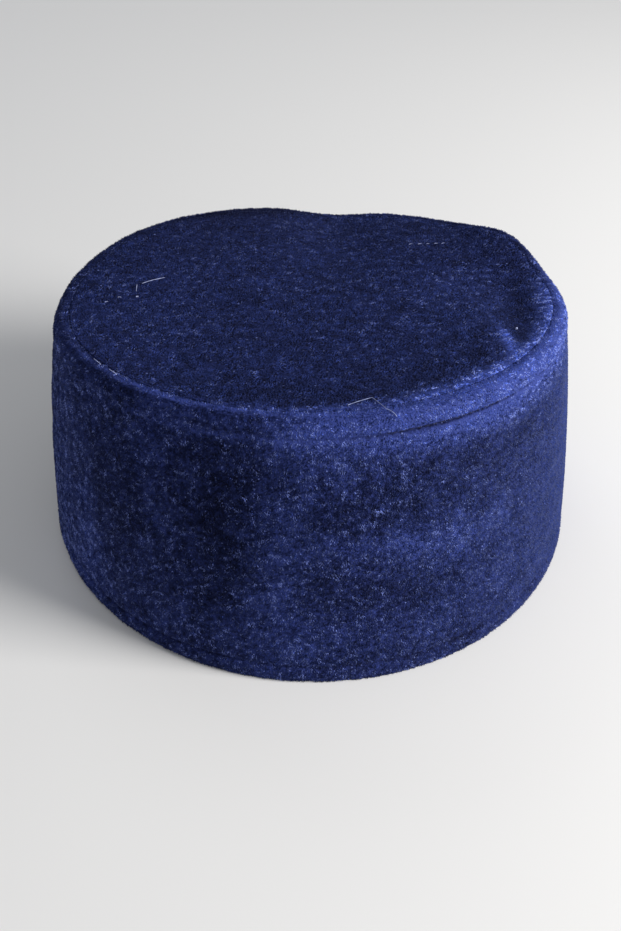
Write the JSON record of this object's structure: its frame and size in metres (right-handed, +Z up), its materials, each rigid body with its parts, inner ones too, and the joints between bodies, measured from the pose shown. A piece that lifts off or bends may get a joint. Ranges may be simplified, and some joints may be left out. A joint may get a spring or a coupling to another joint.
{
  "type": "prayer cap",
  "caption": "Brimless round prayer cap in blue velvet, with a nearly flat oval top panel, a rolled and topstitched edge and a side band that widens to a stitched hem.",
  "frame": {"origin": "middle of the hem's opening, on the surface that the cap stands on", "axes": "+Z up through the top panel, +X along the cap's long axis, -Y out of its front"},
  "size_m": [0.1867, 0.1839, 0.0864],
  "materials": {
    "side_velvet": "crushed velvet pile",
    "top_velvet": "crushed velvet pile"
  },
  "bodies": {
    "root": {"side_band": "side_velvet", "top_panel": "top_velvet"}
  },
  "joints": []
}
